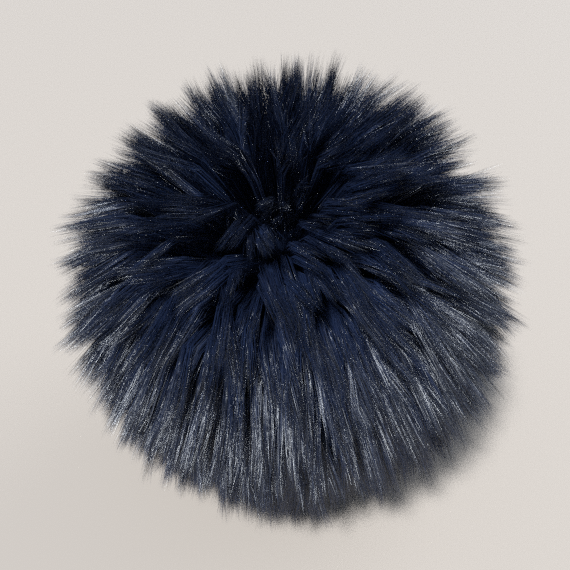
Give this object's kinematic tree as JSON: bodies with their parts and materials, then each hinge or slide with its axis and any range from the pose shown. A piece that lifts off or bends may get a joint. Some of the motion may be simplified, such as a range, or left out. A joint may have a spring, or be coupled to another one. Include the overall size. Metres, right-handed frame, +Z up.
{
  "type": "faux fur pom pom",
  "caption": "Round long-pile fur pom pom in deep navy, its locks falling away from one crown, resting on its own pile.",
  "frame": {"origin": "on the surface that the ball rests on, under the middle of its outline", "axes": "+Z up, -Y to the front, where the crown that the pile parts from leans; +X to the ball's right as seen from the front"},
  "size_m": [0.138, 0.1358, 0.1309],
  "materials": {
    "fur": "long glossy pile"
  },
  "bodies": {
    "root": {"pom_pom": "fur"}
  },
  "joints": []
}
